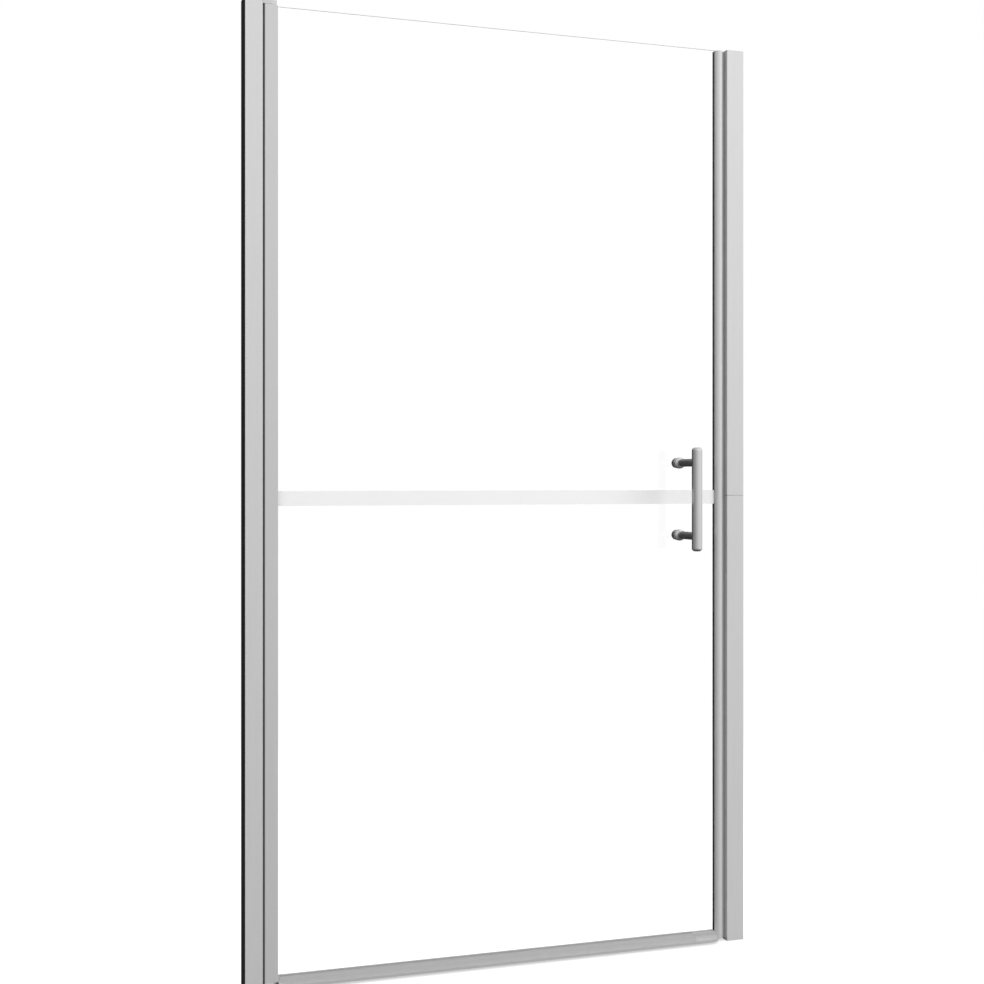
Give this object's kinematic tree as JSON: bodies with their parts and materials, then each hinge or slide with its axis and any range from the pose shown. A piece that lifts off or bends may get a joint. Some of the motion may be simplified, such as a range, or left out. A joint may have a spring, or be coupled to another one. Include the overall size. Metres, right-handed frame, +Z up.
{
  "type": "shower door",
  "caption": "Pivoting glass shower door for a recess, with aluminium posts and stile, pivot blocks, round magnetic closing profile, drip rail, frosted band and bar handle.",
  "frame": {"origin": "foot of the hinge wall face, in the middle of the depth of the posts and of the glass, at the height of the shower tray", "axes": "+X along the door from the hinge wall to the strike wall, +Y into the shower, +Z up; the door opens towards -Y, out of the shower"},
  "size_m": [1, 0.11, 1.78],
  "materials": {
    "anodised_aluminium": "bright satin silver anodised",
    "silver_grey_plastic": "silver-grey moulded plastic",
    "white_bearing_plastic": "white bearing plastic",
    "stainless_steel": "plain stainless steel",
    "black_foam": "closed-cell black foam strip",
    "black_rubber": "soft black rubber",
    "grey_rubber": "soft grey rubber",
    "magnet_strip": "dark magnetic rubber in a soft sleeve",
    "chrome_plate": "polished chrome",
    "clear_plastic": "clear soft plastic",
    "clear_glass": "clear toughened glass",
    "frosted_film": "frosted white film"
  },
  "bodies": {
    "frame": {"hinge_wall_gasket": "black_foam", "hinge_wall_channel": "anodised_aluminium", "hinge_jamb": "anodised_aluminium", "hinge_top_cap": "anodised_aluminium", "top_pivot_block": "silver_grey_plastic", "bottom_pivot_block": "silver_grey_plastic", "top_pivot_bush": "white_bearing_plastic", "bottom_pivot_bush": "white_bearing_plastic", "pivot_block_screws": "stainless_steel", "jamb_lock_screws": "stainless_steel", "strike_wall_gasket": "black_foam", "strike_wall_channel": "anodised_aluminium", "strike_profile_lower": "anodised_aluminium", "strike_profile_upper": "anodised_aluminium", "strike_joint_spigot": "silver_grey_plastic", "strike_magnet_strip": "magnet_strip", "strike_lock_screws": "stainless_steel", "strike_top_cap": "anodised_aluminium"},
    "door": {"hinge_stile": "anodised_aluminium", "stile_plug_top": "silver_grey_plastic", "stile_plug_bottom": "silver_grey_plastic", "pivot_pin_top": "stainless_steel", "pivot_pin_bottom": "stainless_steel", "hinge_seal": "black_rubber", "stile_glazing_gasket": "grey_rubber", "glass_panel": "clear_glass", "frosted_band": "frosted_film", "closing_profile": "anodised_aluminium", "closing_glazing_gasket": "black_rubber", "door_magnet_strip": "magnet_strip", "closing_plug_top": "silver_grey_plastic", "closing_plug_bottom": "silver_grey_plastic", "bottom_rail": "anodised_aluminium", "rail_glazing_gasket": "grey_rubber", "rail_cap_hinge_side": "silver_grey_plastic", "rail_cap_strike_side": "silver_grey_plastic", "rail_wiper_seal": "grey_rubber", "handle_bar": "chrome_plate", "handle_bar_caps": "chrome_plate", "handle_posts": "chrome_plate", "handle_rosettes": "chrome_plate", "handle_washers": "clear_plastic", "handle_hole_sleeves": "clear_plastic", "handle_studs": "stainless_steel", "handle_inner_knobs": "chrome_plate"}
  },
  "joints": [
    {"name": "door_pivot", "type": "hinge", "parent": "frame", "child": "door", "pos_m": [0.048, 0, 0.885], "axis": [0, 0, -1], "range_deg": [0, 90]}
  ]
}
